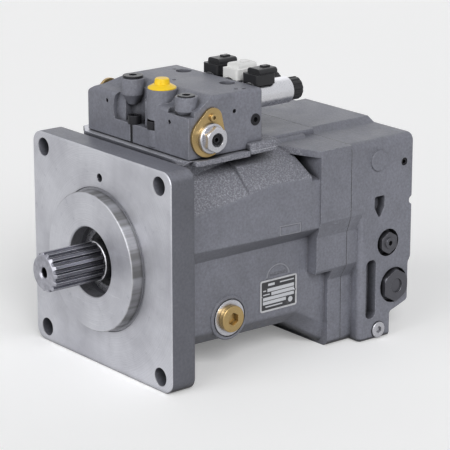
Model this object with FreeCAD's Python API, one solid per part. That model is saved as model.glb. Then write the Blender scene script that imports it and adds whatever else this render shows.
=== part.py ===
import FreeCAD, Part
import math
import os

# Axial piston pump, sizes in millimetres. The shaft runs along Y, the flange face is the plane y = 0,
# the shaft end points to -Y, the body to +Y, and the control block sits on top, towards +Z.

# mounting flange, four bolts on an E size pattern
flange_half_width = 134.0
flange_half_height = 130.0
flange_thick = 34.0
pilot_radius = 82.55
pilot_height = 15.9
pilot_bevel = 1.2
bolt_half_pitch = flange_half_width - 21.75
bolt_hole_radius = 11.0

# casing
case_end = 268.0
gasket_thick = 0.8
cavity_radius = 86.0
cavity_front = 66.0
side_x = cavity_radius + 24.0
belly_z = -cavity_radius - 11.0
lip_thick = 20.0
lip_front = case_end - 47.0
patch_start = 119.0
patch_end = lip_front - 12.0
seat_z = 130.0
seat_front = 42.0
rim_x = 111.0
deck_z = 127.0
terrace_z = 120.0
rear_end = case_end + 98.0
foot_seat = case_end + 62.0
rear_wall_front = case_end + 16.0
cover_thick = 14.0
cover_radius = 60.0

# shaft and bearings
shaft_tip = -80.8
spline_tip_radius = 23.2
spline_root_radius = 20.2
spline_teeth = 14
journal_radius = 24.0
seal_bore_radius = journal_radius + 17.5
front_bearing = (22.0, journal_radius + 1.0, journal_radius + 26.0, 34.0)
rear_bearing = (case_end + 2.0, 20.0, 40.0, 24.0)
core_radius = 21.0
tail_radius = 16.0
running_gap = 0.05

# rotating group
pivot_y = 125.0
max_tilt = math.radians(15.0)
piston_count = 9
ball_pitch = 52.0
bore_pitch = ball_pitch * (1 + math.cos(max_tilt)) / 2
piston_radius = 12.3
bore_radius = 13.5
ball_radius = 8.5
socket_gap = 0.1
slipper_radius = 16.5
slipper_face = 11.0
slipper_disc = 5.0
slipper_neck = 12.0
slipper_top = 3.0
retainer_radius = 68.0
retainer_gap = 0.35
retainer_ball_radius = 30.0
retainer_ball_front = 12.5
retainer_ball_rear = 16.0
block_radius = 72.0
block_front = 165.0
block_end = case_end - 10.0
block_inner_step = 201.0
piston_end = block_end - 30.0
plate_radius = 74.0
plate_thick = 18.0
cradle_radius = 56.0
shell_thick = 2.5
cradle_inner = 34.0
cradle_outer = 63.0
swash_hole = 31.0

# tilting drive
servo_z = 103.5
servo_radius = 15.0
servo_length = 90.0
pin_radius = 7.0
pin_gap = 0.3

# charge pump
lobe_pitch = 30.0
lobe_radius = 7.0
lobe_count = 7
lobe_offset = 3.2
rotor_radius = 40.0
rotor_length = 24.0
mesh_gap = 0.15

# control block
block_box = (-90.0, 102.0, 50.0, 156.0, 130.0, 200.0)
spool_z = 185.0
spool_places = (5.0, 41.0, 78.0)
spool_radius = 8.0
coil_radius = 15.5
coil_end = 213.0
cap_radius = coil_radius - 2.0
cap_end = 229.0
tube_radius = 9.0
armature_radius = 6.0
connector_width = 27.0
connector_floor = spool_z + coil_radius - 2.0

# screws and plugs
housing_screw = (8.0, 12.0, 16.0)
high_screws = ((92.0, 102.0), (-92.0, 102.0))
low_screws = ((100.0, -113.0), (-100.0, -113.0))
block_screw = (5.0, 8.0, 10.0)
block_screw_level = 153.0
block_screw_end = 122.0
block_screw_places = ((-5.0, 55.0), (30.0, 56.0), (-22.0, 140.0), (59.5, 140.0))
cover_screw_count = 6
cover_screw_pitch = 51.0
cover_screw_reach = 32.0
case_plug_place = (101.0, -63.0)
case_plug_thread = 13.0
case_plug_head = 16.0
case_plug_washer = 21.5
port_places = (50.0, -50.0)
port_radius = 19.0
port_y = case_end + 48.0
port_pitch = (36.5, 79.4)
large_plug_place = (case_end + 71.5, -66.0)
cartridge_place = (case_end + 60.5, -10.5)
large_plug_depth = 10.0
cartridge_depth = 12.0
drain_place = (case_end + 46.6, -118.0)
drain_thread = 6.0
socket_places = ((case_end + 85.0, 86.0),)
left_plug_place = (-21.0, 65.0)
right_plug_place = (83.0, 62.0)
yellow_place = (33.0, 66.0)
adjuster_place = (79.0, 153.0)
adjuster_radius = 4.9
adjuster_tail = 7.0
left_tower_top = 203.0

case_face = case_end - gasket_thick / 2
rear_face = case_end + gasket_thick / 2
far = 500.0


def vec(x, y, z):
    return FreeCAD.Vector(x, y, z)


axis_of = {"x": vec(1, 0, 0), "y": vec(0, 1, 0), "z": vec(0, 0, 1)}


def box(x_range, y_range, z_range):
    size = [high - low for low, high in (x_range, y_range, z_range)]
    return Part.makeBox(*size, vec(x_range[0], y_range[0], z_range[0]))


def rod(axis, start, radius, length):
    direction = axis_of[axis]
    if length < 0:
        direction = direction * -1
    return Part.makeCylinder(radius, abs(length), vec(*start), direction)


def turned(profile, x=0.0, z=0.0):
    points = [vec(x + radius, y, z) for radius, y in profile]
    face = Part.Face(Part.makePolygon(points + points[:1]))
    return face.revolve(vec(x, 0, z), axis_of["y"], 360)


def ring(outer, inner, start, end, x=0.0, z=0.0):
    return turned([(inner, start), (outer, start), (outer, end), (inner, end)], x, z)


def rounded_wire(corners, place):
    """corners: (a, b, radius); place turns (a, b) into a point."""
    edges = []
    first = None
    last = None
    count = len(corners)
    for index, (a, b, radius) in enumerate(corners):
        here = place(a, b)
        back = place(*corners[index - 1][:2]) - here
        ahead = place(*corners[(index + 1) % count][:2]) - here
        half = back.getAngle(ahead) / 2
        back.normalize()
        ahead.normalize()
        reach = radius / math.tan(half)
        start = here + back * reach
        end = here + ahead * reach
        middle = back + ahead
        middle.normalize()
        crown = here + middle * (radius / math.sin(half) - radius)
        if last is None:
            first = start
        else:
            edges.append(Part.makeLine(last, start))
        edges.append(Part.Arc(start, crown, end).toShape())
        last = end
    edges.append(Part.makeLine(last, first))
    return Part.Wire(edges)


def across(y):
    return lambda a, b: vec(a, y, b)


def along_side(x):
    return lambda a, b: vec(x, a, b)


def on_level(z):
    return lambda a, b: vec(a, b, z)


def slab(corners, place, direction):
    return Part.Face(rounded_wire(corners, place)).extrude(direction)


def lofted(sections):
    wires = [rounded_wire(corners, across(y)) for y, corners in sections]
    return Part.makeLoft(wires, True, True)


def rectangle(half_a, half_b, radius, centre=(0.0, 0.0)):
    a, b = centre
    signs = ((-1, -1), (1, -1), (1, 1), (-1, 1))
    return [(a + half_a * s, b + half_b * t, radius) for s, t in signs]


def softened(shape, radius, chosen=None):
    edges = [edge for edge in shape.Edges if chosen is None or chosen(edge)]
    return shape.makeFillet(radius, edges)


def at_y(value):
    def test(edge):
        bounds = edge.BoundBox
        return abs(bounds.YMin - value) < 0.01 and abs(bounds.YMax - value) < 0.01
    return test


def hexagon(axis, start, across_flats, length):
    radius = across_flats / math.sqrt(3)
    points = []
    for index in range(6):
        angle = math.radians(60 * index + 30)
        p = radius * math.cos(angle)
        q = radius * math.sin(angle)
        offset = {"x": vec(0, p, q), "y": vec(p, 0, q), "z": vec(p, q, 0)}[axis]
        points.append(vec(*start) + offset)
    face = Part.Face(Part.makePolygon(points + points[:1]))
    return face.extrude(axis_of[axis] * length)


def fused(shapes):
    first = shapes[0]
    if len(shapes) > 1:
        first = first.fuse(shapes[1:])
    return first


def circle_points(radius, count, start=0.0):
    angles = [start + 2 * math.pi * index / count for index in range(count)]
    return [(radius * math.cos(angle), radius * math.sin(angle)) for angle in angles]


def mirrored(shape):
    return shape.mirror(vec(0, 0, 0), axis_of["x"])


def sphere(radius, x, y, z):
    return Part.makeSphere(radius, vec(x, y, z), axis_of["y"], -90, 90, 360)


# casing

def body_section(crest_x, crest_z, top_x, top_z, bottom_x, bottom_z, slope_z, side=side_x):
    """seen along the shaft: narrow below the ledge, a wide wall above it, then a slope in to the top"""
    right = [(bottom_x, bottom_z, 10), (side, slope_z, 8), (side, 11, 1.5), (crest_x, 27, 4),
             (crest_x, crest_z, 3), (top_x, top_z, 6), (70, seat_z - 6, 4)]
    left = [(-a, b, radius) for a, b, radius in reversed(right)]
    return right + left


def lip_outline():
    half = flange_half_width
    right = [(half - 16, -flange_half_height, 10), (half - 17, -46, 5), (half - 7, -28, 5), (half - 7, 13, 5),
             (half, 33, 5), (half, terrace_z, 10), (66, terrace_z, 3), (58, deck_z, 3)]
    left = [(-a, b, radius) for a, b, radius in reversed(right)]
    return right + left


def casing_hull():
    plate = slab(rectangle(flange_half_width, flange_half_height, 15), across(0), vec(0, flange_thick, 0))
    plate = softened(plate, 2.5, at_y(flange_thick))
    plate = softened(plate, 1.2, at_y(0))
    pilot = turned([(0, -pilot_height), (pilot_radius - pilot_bevel, -pilot_height),
                    (pilot_radius, pilot_bevel - pilot_height), (pilot_radius, 2), (0, 2)])
    wide = flange_half_width
    neck = body_section(wide - 16, 62, 92, 90, 84, belly_z, -76)
    middle = body_section(wide - 9, 83, 100, 107, 87, belly_z, -77)
    behind = body_section(wide - 9, 88, 101, 112, 87, belly_z, -77)
    waist = body_section(wide - 3, 91, 100, 109, 90, belly_z, -78)
    bridge = body_section(wide - 3.8, 86, 85, 96, 89, belly_z + 0.7, -78, side_x - 0.4)
    foot = body_section(wide - 1, 84, 85, 96, side_x - 4, 1 - flange_half_height, -104)
    front = lofted([(flange_thick - 2, neck), (patch_start, middle)])
    rear = lofted([(patch_start, behind), (patch_end, waist)])
    flare = lofted([(patch_end - 5, bridge), (case_face - lip_thick + 2, foot)])
    lip = slab(lip_outline(), across(case_face - lip_thick), vec(0, lip_thick, 0))
    high = slab(lip_outline(), across(lip_front), vec(0, case_face - lip_front - 1, 0))
    high = high.common(box((-far, far), (lip_front - 1, case_end), (-32, 140)))
    boss = rod("x", (side_x - 8, *case_plug_place), 27, 10)
    boss = softened(boss, 1.8, lambda edge: edge.BoundBox.XMin > side_x + 1.9)
    return [plate, pilot, front, rear, flare, lip, high, boss] + seat_parts()


def seat_parts():
    """rim under the control block, the deck behind it and the terrace in front of the split"""
    rim_thick = 6
    corner = 57
    rim = [(-rim_x, corner, 5), (-88, seat_front, 5), (88, seat_front, 5), (rim_x, corner, 5),
           (rim_x, 134, 3), (-rim_x, 134, 3)]
    rim = slab(rim, on_level(seat_z - rim_thick), vec(0, 0, rim_thick))
    rim = softened(rim, 1.5, lambda edge: edge.BoundBox.ZMin > seat_z - 0.01)
    core = slab(rectangle(86, 66, 12, (0, seat_front + 66)), on_level(96), vec(0, 0, seat_z - 96))
    x0, x1, y0, y1, z0, z1 = block_box
    step_z = seat_z + 8
    back = slab([(-rim_x, 134, 3), (rim_x, 134, 3), (rim_x, 177, 8), (-rim_x, 177, 8)],
                on_level(seat_z - 4), vec(0, 0, step_z - seat_z + 4))
    back = softened(back, 2.0, lambda edge: edge.BoundBox.ZMin > step_z - 0.01)
    back = back.cut(box((x0 - 0.5, x1 + 0.5), (y0, y1 + 0.5), (seat_z, 200)))
    deck = box((-66, 66), (160, case_face), (96, deck_z))
    deck = softened(deck, 2.5, lambda edge: edge.BoundBox.ZMin > deck_z - 0.01 and edge.BoundBox.YLength > 20)
    half = flange_half_width
    front = lip_front - 4
    terrace = [(-60, front - 33, 4), (60, front - 33, 4), (80, front - 18, 8), (half - 7, front, 5),
               (half, lip_front, 2), (half, case_face, 1), (-half, case_face, 1), (-half, lip_front, 2),
               (7 - half, front, 5), (-80, front - 18, 8)]
    terrace = slab(terrace, on_level(terrace_z - 8), vec(0, 0, 8))
    return [rim, core, back, deck, terrace]


def flange_cuts():
    cuts = [ring(pilot_radius + 3.2, pilot_radius, -1, 1)]
    for x in (-bolt_half_pitch, bolt_half_pitch):
        for z in (-bolt_half_pitch, bolt_half_pitch):
            cuts.append(rod("y", (x, -1, z), bolt_hole_radius, flange_thick + 2))
            cuts.append(rod("y", (x, flange_thick, z), 19, 21))
    cuts.append(rod("y", (0, -1, 98), 5, 25))
    return cuts


def cavity_cuts():
    start, _, outer, _ = front_bearing
    profile = [(0, -pilot_height - 1), (seal_bore_radius + 2, -pilot_height - 1),
               (seal_bore_radius, -pilot_height + 1.5), (seal_bore_radius, start), (outer, start),
               (outer, cavity_front), (cavity_radius, cavity_front), (cavity_radius, case_end), (0, case_end)]
    servo_front = pivot_y - servo_length / 2 - 32
    servo = rod("y", (0, servo_front, servo_z), servo_radius, case_end - servo_front)
    slot = box((-8.5, 8.5), (72, 172), (80, servo_z))
    plug_y, plug_z = case_plug_place
    plug = rod("x", (50, plug_y, plug_z), case_plug_thread, side_x - 40)
    spot = rod("x", (side_x + 0.5, plug_y, plug_z), case_plug_washer + 1.5, 10)
    return [turned(profile), servo, slot, plug, spot]


def cradle_pads():
    shell = cradle_radius + shell_thick
    blank = box((cradle_inner, cradle_outer), (cavity_front - 4, pivot_y - 28), (-40, 40))
    pad = blank.cut(rod("x", (0, pivot_y, 0), shell, 100))
    return [pad, mirrored(pad)]


def screw_cuts():
    """threads in the front housing for the control block and for the rear housing"""
    cuts = []
    for x, y in block_screw_places:
        cuts.append(rod("z", (x, y, block_screw_end - 1), block_screw[0], 30))
    for x, z in high_screws + low_screws:
        cuts.append(rod("y", (x, case_face - screw_hold(z), z), housing_screw[0], screw_hold(z) + 2))
    return cuts


def screw_hold(z):
    """thread length in the front housing: short at the flared bottom"""
    return 30 if z > 0 else 17


def flange_housing():
    shape = fused(casing_hull()).cut(flange_cuts() + cavity_cuts() + screw_cuts())
    return fused([shape] + cradle_pads())


def housing_gasket():
    sheet = slab(lip_outline(), across(case_face), vec(0, gasket_thick, 0))
    cuts = [rod("y", (0, case_face - 1, 0), cavity_radius, 4)]
    for x, z in high_screws + low_screws:
        cuts.append(rod("y", (x, case_face - 1, z), housing_screw[0] + 0.5, 4))
    return sheet.cut(cuts)


def rear_hull():
    depth = rear_end - rear_face
    half = flange_half_width
    hull = slab(lip_outline(), across(rear_face), vec(0, depth, 0))
    wall = box((-half, half), (rear_wall_front, rear_end), (-flange_half_height, 36))
    wall = softened(wall, 7, lambda edge: edge.BoundBox.YMax < rear_wall_front + 0.1 and edge.BoundBox.ZLength > 9)
    wall = softened(wall, 6, lambda edge: edge.BoundBox.ZMax < 0.1 - flange_half_height and edge.BoundBox.YLength > 20)
    hull = hull.fuse([wall])
    step = rear_end - 4
    heel = rear_end - 33
    low = [(rear_face - 1, -far, 4), (heel, -far, 4), (heel, -99, 5), (step, -89, 5), (step, -42, 8),
           (rear_end, -34, 8), (rear_end, 31, 3), (step, 34, 3), (step, 39, 3), (rear_end, 42, 3),
           (rear_end, 118, 8), (rear_end - 8, 135, 8), (rear_face - 1, 135, 4)]
    side = slab(low, along_side(-far), vec(2 * far, 0, 0))
    hull = hull.common(side)
    disc = rod("x", (half - 34, case_end + 43, 94.5), 13, 36.5)
    disc = softened(disc, 1.2, lambda edge: edge.BoundBox.XMin > half + 2.4)
    back_pad = ring(cover_radius, 5, rear_end - 60, rear_end)
    return fused([hull, disc, back_pad])


def kidney(pitch, width, spread, y, depth):
    """one curved slot on each side of the axis, its ends rounded"""
    half = width / 2
    belt = ring(pitch + half, pitch - half, y, y + depth)
    reach = math.radians(spread)
    edge_x = far * math.cos(reach)
    edge_z = far * math.sin(reach)
    wedge = Part.Face(Part.makePolygon([vec(0, y, 0), vec(edge_x, y, -edge_z), vec(edge_x, y, edge_z),
                                        vec(0, y, 0)])).extrude(vec(0, depth, 0))
    arc = belt.common(wedge)
    ends = [rod("y", (pitch * math.cos(reach), y, sign * pitch * math.sin(reach)), half, depth)
            for sign in (-1, 1)]
    slot = fused([arc] + ends)
    return [slot, mirrored(slot)]


def port_cuts():
    cuts = []
    turn = math.radians(45)
    reach = bore_pitch * math.cos(turn)
    for side, level in ((-1, port_places[0]), (1, port_places[1])):
        lift = math.copysign(reach, level)
        cuts.append(rod("y", (side * reach, rear_face - 1, lift), 9, port_y - rear_face))
        cuts.append(rod("x", (-flange_half_width - 1, port_y, level), port_radius,
                        flange_half_width + 1 + side * reach + 10))
        for dy in (-port_pitch[0] / 2, port_pitch[0] / 2):
            for dz in (-port_pitch[1] / 2, port_pitch[1] / 2):
                cuts.append(rod("x", (-flange_half_width - 1, port_y + dy, level + dz), 7, 31))
    return cuts


def rear_cuts():
    start, _, outer, length = rear_bearing
    bore = turned([(0, rear_face - 1), (outer, rear_face - 1), (outer, start + length + 1.6),
                   (tail_radius + 6, start + length + 1.6), (tail_radius + 6, rear_end - rotor_length + 1),
                   (0, rear_end - rotor_length + 1)])
    pocket = rod("y", (-lobe_offset, rear_end - rotor_length, 0), rotor_radius + running_gap, rotor_length + 2)
    plug_y, plug_z = large_plug_place
    seat = flange_half_width
    cuts = [bore, pocket]
    cuts.append(rod("x", (seat - large_plug_depth, plug_y, plug_z), 22, 20))
    cuts.append(rod("x", (seat - 60, plug_y, plug_z), 14, 60))
    cuts.append(rod("x", (seat - cartridge_depth, *cartridge_place), 17, 20))
    cuts.append(rod("x", (seat - 50, *cartridge_place), 10, 50))
    cuts.append(rod("x", (seat - 16, *drain_place), drain_thread, 60))
    cuts.append(rod("x", (seat - 1, *drain_place), 10.5, 20))
    for y, z in socket_places:
        cuts.append(rod("x", (seat - 8, y, z), 5, 20))
    middle = case_end + 45.8
    bullet = [(middle - 8.2, 50, 3), (middle - 8.2, 36, 5), (middle, 21.5, 2.5), (middle + 8.2, 36, 5),
              (middle + 8.2, 50, 3)]
    cuts.append(slab(bullet, along_side(seat - 12), vec(20, 0, 0)))
    cuts.append(slab(rectangle(8, 37, 7, (case_end + 34, -65)), along_side(seat - 15), vec(40, 0, 0)))
    for x, z in high_screws + low_screws:
        cuts.append(rod("y", (x, rear_face - 1, z), housing_screw[0] + 0.5, rear_end))
    for x, z in low_screws:
        cuts.append(rod("y", (x, foot_seat, z), housing_screw[1] + 1.5, rear_end))
    for x, z in circle_points(cover_screw_pitch, cover_screw_count, math.pi / 6):
        cuts.append(rod("y", (x, rear_end - 22, z), block_screw[0], 30))
    return cuts


def rear_housing():
    return rear_hull().cut(rear_cuts() + port_cuts())


def charge_cover():
    y = rear_end
    disc = turned([(0, y), (cover_radius, y), (cover_radius, y + cover_thick - 2),
                   (cover_radius - 2, y + cover_thick), (0, y + cover_thick)])
    spout = turned([(0, y + 8), (26, y + 8), (26, y + cover_thick + 10), (24, y + cover_thick + 12),
                    (0, y + cover_thick + 12)])
    cuts = [rod("y", (0, y + 5, 0), 15, 40)]
    cuts += [slot for slot in kidney(23, 8, 42, y - 1, 8)]
    cuts.append(box((-24, 24), (y + 4.5, y + 10), (-6, 6)))
    for x, z in circle_points(cover_screw_pitch, cover_screw_count, math.pi / 6):
        cuts.append(rod("y", (x, y - 1, z), block_screw[0] + 0.3, 30))
    return fused([disc, spout]).cut(cuts)


# screws, plugs and plates

def cap_screw(axis, seat, sizes, reach, sense):
    """head stands on the seat point and the shank runs the other way"""
    radius, head_radius, head = sizes
    x, y, z = seat
    cap = rod(axis, seat, head_radius, head * sense)
    rim = max if sense > 0 else min
    cap = softened(cap, 0.8, lambda edge: is_far_end(edge, axis, seat, rim, head))
    shank = rod(axis, seat, radius, -reach * sense)
    step = axis_of[axis] * (sense * head * 0.45)
    socket = hexagon(axis, (x + step.x, y + step.y, z + step.z), head_radius * 1.05, sense * head)
    return fused([cap, shank]).cut([socket])


def is_far_end(edge, axis, seat, rim, head):
    bounds = edge.BoundBox
    low = {"x": bounds.XMin, "y": bounds.YMin, "z": bounds.ZMin}[axis]
    high = {"x": bounds.XMax, "y": bounds.YMax, "z": bounds.ZMax}[axis]
    origin = seat["xyz".index(axis)]
    target = origin + head if rim is max else origin - head
    return abs(low - target) < 0.01 and abs(high - target) < 0.01


def housing_bolts():
    screws = []
    for places, seat in ((high_screws, rear_end), (low_screws, foot_seat)):
        for x, z in places:
            reach = seat - case_face + screw_hold(z) - 2
            screws.append(cap_screw("y", (x, seat, z), housing_screw, reach, 1))
    return Part.makeCompound(screws)


def socket_screws():
    reach = block_screw_level - block_screw_end
    screws = [cap_screw("z", (x, y, block_screw_level), block_screw, reach, 1) for x, y in block_screw_places]
    seat = rear_end + cover_thick
    places = circle_points(cover_screw_pitch, cover_screw_count, math.pi / 6)
    screws += [cap_screw("y", (x, seat, z), block_screw, cover_screw_reach, 1) for x, z in places]
    return Part.makeCompound(screws)


def case_plug():
    y, z = case_plug_place
    face = side_x + 2.5
    head = rod("x", (face, y, z), case_plug_head, 7)
    head = softened(head, 1.4, lambda edge: edge.BoundBox.XMin > face + 6.9)
    thread = rod("x", (face, y, z), case_plug_thread, -24)
    socket = hexagon("x", (face + 1, y, z), 14, 12)
    return fused([head, thread]).cut([socket])


def case_plug_ring():
    y, z = case_plug_place
    start = side_x + 0.5
    washer = rod("x", (start, y, z), case_plug_washer, 2)
    washer = softened(washer, 0.5, lambda edge: edge.BoundBox.XMin > start + 1.9)
    return washer.cut([rod("x", (start - 1, y, z), case_plug_thread, 6)])


def drain_plug():
    y, z = drain_place
    seat = flange_half_width - 1
    head = rod("x", (seat, y, z), 9.75, 3)
    head = softened(head, 0.8, lambda edge: edge.BoundBox.XMin > seat + 2.9)
    thread = rod("x", (seat, y, z), drain_thread, -14)
    return fused([head, thread]).cut([hexagon("x", (seat + 0.5, y, z), 8, 9)])


def relief_cartridge():
    y, z = cartridge_place
    seat = flange_half_width - cartridge_depth
    collar = rod("x", (seat, y, z), 16, 3)
    nut = hexagon("x", (seat + 3, y, z), 24, 12).common(rod("x", (seat, y, z), 13.2, 15))
    stem = rod("x", (seat + 15, y, z), 7, 2)
    stem = softened(stem, 0.8, lambda edge: edge.BoundBox.XMin > seat + 16.9)
    thread = rod("x", (seat, y, z), 10, -36)
    return fused([collar, nut, stem, thread]).cut([hexagon("x", (seat + 12, y, z), 6, 9)])


def check_valve_cap():
    y, z = large_plug_place
    seat = flange_half_width - large_plug_depth
    collar = rod("x", (seat, y, z), 21, 5)
    collar = softened(collar, 0.8, lambda edge: edge.BoundBox.XMin > seat + 4.9)
    dome = rod("x", (seat, y, z), 20, 15)
    dome = softened(dome, 2, lambda edge: edge.BoundBox.XMin > seat + 14.9)
    nut = hexagon("x", (seat + 4, y, z), 36, 11).common(dome)
    thread = rod("x", (seat, y, z), 14, -48)
    mark = rod("x", (seat + 13, y, z), 9, 4)
    return fused([collar, nut, thread]).cut([mark])


def socket_plugs():
    plugs = []
    for y, z in socket_places:
        face = flange_half_width - 8
        plugs.append(rod("x", (face, y, z), 5, 7).cut(hexagon("x", (face + 3, y, z), 5, 9)))
    for (x, y), level, height, radius in ((left_plug_place, left_tower_top, 3, 12),
                                          (right_plug_place, block_box[5], 1.5, 10)):
        head = rod("z", (x, y, level), radius, height)
        head = softened(head, 0.7, lambda edge: edge.BoundBox.ZMin > level + height - 0.1)
        body = rod("z", (x, y, level), 8, -12)
        plugs.append(fused([head, body]).cut(hexagon("z", (x, y, level - 5), 9, 12)))
    side = block_box[1]
    body = rod("x", (side - 8, 147, 163.5), 7, 8.4)
    plugs.append(body.cut(hexagon("x", (side - 3, 147, 163.5), 6, 9)))
    return Part.makeCompound(plugs)


def port_cap():
    x, y = yellow_place
    top = block_box[5]
    profile = [(0, top - 12), (8.5, top - 12), (9, top), (16.5, top), (16.5, top + 1.2), (11.5, top + 4.2),
               (9.2, top + 5), (8.2, top + 10.5), (7, top + 11.5), (0, top + 11.5)]
    points = [vec(x + radius, y, z) for radius, z in profile]
    face = Part.Face(Part.makePolygon(points + points[:1]))
    cap = face.revolve(vec(x, y, 0), axis_of["z"], 360)
    grips = [rod("z", (x + a, y + b, top + 5.4), 1.3, 10) for a, b in circle_points(9.4, 8)]
    return cap.cut([rod("z", (x, y, top - 13), 6.5, 14)] + grips)


def name_plate():
    start = side_x
    centre = (176, -49)
    plate = slab(rectangle(28, 19.5, 3, centre), along_side(start), vec(1.2, 0, 0))
    hollow = slab(rectangle(26.2, 17.7, 2, centre), along_side(start + 0.9), vec(2, 0, 0))
    screws = []
    for y, z in ((centre[0] - 24.5, centre[1]), (centre[0] + 24.5, centre[1])):
        pin = rod("x", (start + 0.9, y, z), 1.6, 1.1)
        screws.append(softened(pin, 0.5, lambda edge: edge.BoundBox.XMin > start + 1.9))
    return fused([plate.cut(hollow)] + screws)


def disc_link(first, second, x, depth):
    """straight-sided link between two discs of different radius on a side face"""
    (y0, z0, r0), (y1, z1, r1) = first, second
    heading = math.atan2(z1 - z0, y1 - y0)
    lean = math.acos((r0 - r1) / math.hypot(y1 - y0, z1 - z0))
    points = []
    for y, z, radius, sign in ((y0, z0, r0, 1), (y1, z1, r1, 1), (y1, z1, r1, -1), (y0, z0, r0, -1)):
        angle = heading + sign * lean
        points.append(vec(x, y + radius * math.cos(angle), z + radius * math.sin(angle)))
    return Part.Face(Part.makePolygon(points + points[:1])).extrude(vec(depth, 0, 0))


def egg_plate(x, depth):
    low = (76.0, 155.0, 23.5)
    high = (82.0, 174.0, 13.5)
    discs = [rod("x", (x, y, z), radius, depth) for y, z, radius in (low, high)]
    return fused(discs + [disc_link(low, high, x, depth)]).removeSplitter()


def adjuster_plates():
    face = block_box[1]
    right = egg_plate(face, 3.5)
    boss_y, boss_z = adjuster_place
    right = right.cut([rod("x", (face - 1, boss_y, boss_z), adjuster_tail, 9)])
    head = rod("x", (face + 3.5, 82, 176.5), 4.5, 3)
    head = softened(head, 0.8, lambda edge: edge.BoundBox.XMin > face + 6.4)
    head = head.cut(hexagon("x", (face + 4.5, 82, 176.5), 4, 5))
    left = mirrored(fused([egg_plate(-block_box[0], 3.5),
                           rod("x", (-block_box[0] + 3.5, boss_y, boss_z), 6, 3)]))
    return Part.makeCompound([fused([right, head]), left])


def adjuster_housing():
    y, z = adjuster_place
    face = block_box[1] + 3.5
    disc = rod("x", (face, y, z), 17.5, 4.5)
    disc = softened(disc, 2.0, lambda edge: edge.BoundBox.XMin > face + 4.4)
    crown = rod("x", (face + 4, y, z), 15.2, 8.5)
    crown = softened(crown, 2.5, lambda edge: edge.BoundBox.XMin > face + 12.4)
    nut = hexagon("x", (face + 4, y, z), 27, 8.5).common(crown)
    tail = rod("x", (face, y, z), adjuster_tail, -12)
    bore = [rod("x", (face - 13, y, z), adjuster_radius + running_gap, 40), rod("x", (face + 3, y, z), 8.2, 20)]
    return fused([disc, nut, tail]).cut(bore)


def adjuster_screw():
    y, z = adjuster_place
    face = block_box[1]
    screw = rod("x", (face - 8, y, z), adjuster_radius, 22)
    screw = softened(screw, 0.6, lambda edge: edge.BoundBox.XMin > face + 13.9)
    return screw.cut([hexagon("x", (face + 9, y, z), 5, 9)])


# control block

def control_hull():
    x0, x1, y0, y1, z0, z1 = block_box
    profile = [(y0, z0, 2), (y1, z0, 2), (y1, z1, 3), (y0 + 34, z1, 8), (y0 + 14, z1 - 14, 6), (y0, z1 - 16, 5)]
    core = slab(profile, along_side(x0), vec(x1 - x0, 0, 0))
    front = [(x0, z0, 2), (x1, z0, 2), (x1, z1, 5), (x0 + 36, z1, 6), (x0, z1 - 22, 6)]
    trim = slab(front, across(y0 - 10), vec(0, y1 - y0 + 20, 0))
    return core.common(trim)


def tower(place, radius, foot_z, top_z, lean):
    """boss around a port: a cylinder, with a cone under it where it hangs over the recess"""
    x, y = place
    post = rod("z", (x, y, foot_z), radius, top_z - foot_z)
    post = softened(post, 1.2, lambda edge: edge.BoundBox.ZMin > top_z - 0.01)
    if not lean:
        return post
    cone = Part.makeCone(radius * 0.45, radius, lean, vec(x, y, foot_z - lean))
    return fused([post, cone])


def control_towers():
    top = block_box[5]
    left = tower(left_plug_place, 13.5, 184, left_tower_top, 12)
    middle = tower(yellow_place, 17.5, block_box[4] + 4, top, 0)
    right = tower(right_plug_place, 13, 184, top, 10)
    return [left, middle, right]


def front_recesses():
    """shallow round recess of the casting, the pocket around the first screw and the right shoulder"""
    x0, x1, y0, y1, z0, z1 = block_box
    first_x = block_screw_places[0][0]
    level = block_screw_level
    bowl = rod("y", (first_x - 2, y0 - 1, 165), 33, 7).cut(box((-60, 60), (0, 90), (100, level)))
    pocket = slab(rectangle(18.5, 20, 8, (first_x, y0 + 2)), on_level(level), vec(0, 0, 60))
    shoulder = slab(rectangle(20, 7, 5, (84, y0 + 2)), on_level(z1 - 21), vec(0, 0, 40))
    return [bowl, pocket, shoulder]


def control_cuts():
    x0, x1, y0, y1, z0, z1 = block_box
    cuts = []
    for x in spool_places:
        cuts.append(rod("y", (x, y0 + 42, spool_z), spool_radius, y1 - y0 - 41))
    for (x, y), level in ((left_plug_place, left_tower_top), (right_plug_place, z1)):
        cuts.append(rod("z", (x, y, level - 12), 8, 20))
    cuts.append(rod("z", (*yellow_place, z1 - 30), 9, 40))
    for x, y in block_screw_places:
        cuts.append(rod("z", (x, y, z0 - 1), block_screw[0] + 0.4, 40))
    for x, y in block_screw_places[2:]:
        cuts.append(rod("z", (x, y, block_screw_level), block_screw[1] + 1.5, 60))
    notch_x, notch_y = block_screw_places[1]
    wide = block_screw[1] + 1.5
    level = block_screw_level
    cuts.append(rod("z", (notch_x, notch_y, level), wide, 12))
    cuts.append(box((notch_x - wide, notch_x + wide), (y0 - 10, notch_y), (level, level + 12)))
    for x, z in ((-52, 172), (67, 169)):
        cuts.append(rod("y", (x, y0 - 1, z), 2.5, 8))
    for x, y in ((-36, 137), (-30, 138), (9, 102), (90, 128), (94, 136)):
        cuts.append(rod("z", (x, y, z1 - 6), 2.6, 8))
    cuts.append(rod("x", (x1 - 5, 116, 178), 2.5, 8))
    cuts.append(rod("x", (x1 - 8, 147, 163.5), 7, 12))
    y, z = adjuster_place
    cuts.append(rod("x", (x1 - 10, y, z), adjuster_tail, 20))
    return cuts


def control_block():
    block = fused([control_hull().cut(front_recesses())] + control_towers())
    return block.cut(control_cuts())


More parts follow.
